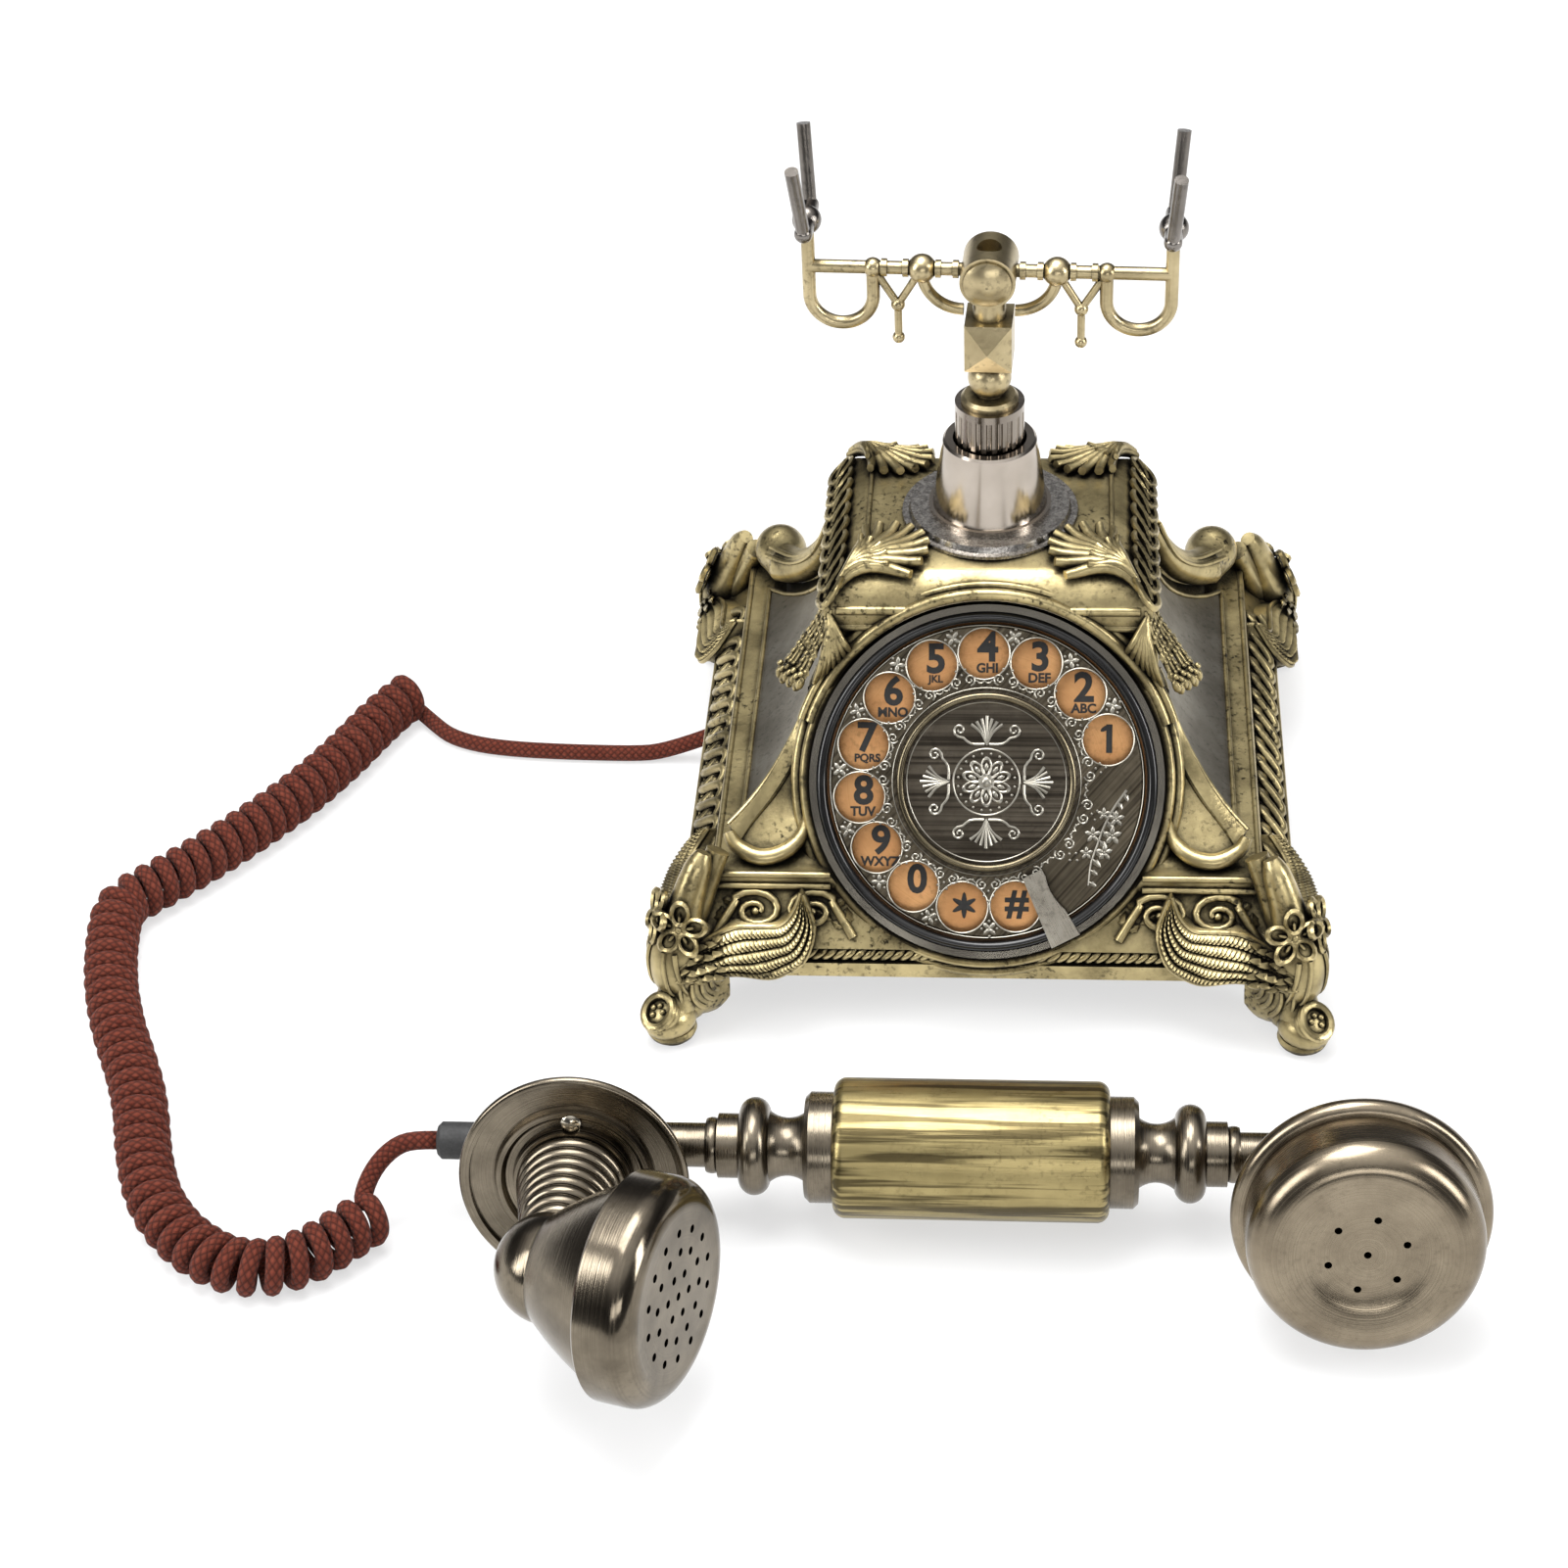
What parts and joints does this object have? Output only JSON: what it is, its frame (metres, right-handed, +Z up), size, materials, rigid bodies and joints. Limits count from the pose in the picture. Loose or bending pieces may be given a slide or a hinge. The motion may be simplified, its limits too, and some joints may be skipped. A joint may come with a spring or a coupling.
{
  "type": "rotary telephone",
  "caption": "Ornate antique style desk telephone with a rotary dial, a forked cradle on a column, winged scroll legs, and a handset on a curled cord lying beside its base.",
  "frame": {"origin": "on the table, under the middle of the base and its handset together, without the cord", "axes": "+Z up, the dial faces -Y, the handset lies along X in front of the base"},
  "size_m": [0.3683, 0.3338, 0.2185],
  "materials": {
    "gold_resin": "antique gold with a dark wash in the recesses",
    "brass": "polished",
    "grip_gold": "brushed along its length, with dark strokes",
    "antique_bronze": "brushed, dark antique bronze",
    "nickel_bronze": "brushed, warm grey",
    "dial_bronze": "brushed, satin",
    "copper_print": "satin copper with dark print",
    "steel": "brushed",
    "bare_steel": "bare",
    "gear_brass": "bare",
    "black_gloss": "gloss",
    "black_plastic": "moulded",
    "black_rubber": "matt",
    "board": "printed circuit board",
    "iron": "as cast",
    "cloth": "braided brown red cloth"
  },
  "bodies": {
    "base": {"base_casting": "gold_resin", "leg_front_left": "gold_resin", "leg_front_right": "gold_resin", "leg_rear_left": "gold_resin", "leg_rear_right": "gold_resin", "stem_disc": "nickel_bronze", "stem_cup": "nickel_bronze", "number_plate": "copper_print", "dial_bezel": "steel", "finger_stop": "steel", "bottom_plate": "bare_steel", "bottom_screws": "bare_steel", "dial_frame": "bare_steel", "hook_spring": "bare_steel", "spring_barrel": "bare_steel", "dial_bush": "gear_brass", "dial_seal": "black_gloss", "pulse_contacts": "black_plastic", "hook_tower": "black_plastic", "hook_switch": "black_plastic", "ringer": "black_plastic", "line_jack": "black_plastic", "handset_jack": "black_plastic", "base_plug": "black_plastic", "rubber_feet": "black_rubber", "circuit_board": "board", "ballast": "iron", "cord_coil": "cloth", "cord_handset_lead": "cloth", "cord_base_lead": "cloth"},
    "dial": {"finger_wheel": "dial_bronze", "dial_medallion": "dial_bronze", "dial_shaft": "bare_steel", "main_gear": "gear_brass", "pulse_cam": "black_plastic"},
    "governor_drum": {"governor": "gear_brass"},
    "cradle": {"plunger_column": "nickel_bronze", "column_washer": "brass", "hook_rod": "steel", "cradle_post": "brass", "hub_caps": "brass", "cradle_arm_left": "brass", "cradle_arm_right": "brass", "fork_left": "brass", "fork_right": "brass"},
    "handset": {"handset_tube": "antique_bronze", "grip_sleeve": "grip_gold", "collar_left": "antique_bronze", "collar_right": "antique_bronze", "ear_shell": "antique_bronze", "ear_cap": "antique_bronze", "receiver": "black_plastic", "mouth_shell": "antique_bronze", "mouth_plate": "antique_bronze", "mouth_screw": "steel", "mouth_neck": "antique_bronze", "horn": "antique_bronze", "horn_cap": "antique_bronze", "microphone": "black_plastic", "strain_relief": "black_rubber"}
  },
  "joints": [
    {"name": "dial_spin", "type": "hinge", "parent": "base", "child": "dial", "pos_m": [0.0065, 0.01753, 0.065], "axis": [0, 0.8192, -0.5736], "range_deg": [0, 335], "stiffness_Nm_per_rad": 0.015, "springref_deg": -45.84},
    {"name": "governor_spin", "type": "hinge", "parent": "base", "child": "governor_drum", "pos_m": [0.0317, 0.01753, 0.065], "axis": [0, 0.8192, -0.5736], "range_deg": [-1690, 10]},
    {"name": "hook_plunge", "type": "slide", "parent": "base", "child": "cradle", "axis": [0, 0, 1], "range_m": [-0.006, 0], "stiffness_N_per_m": 300, "springref_m": 0.02, "deforming": ["hook_spring"]},
    {"name": "handset_lift", "type": "slide", "parent": "base", "child": "handset", "axis": [0, 0, 1], "range_m": [0, 0.18]}
  ],
  "couplings": [
    {"joint": "governor_spin", "follows": "dial_spin", "ratio": -5}
  ]
}
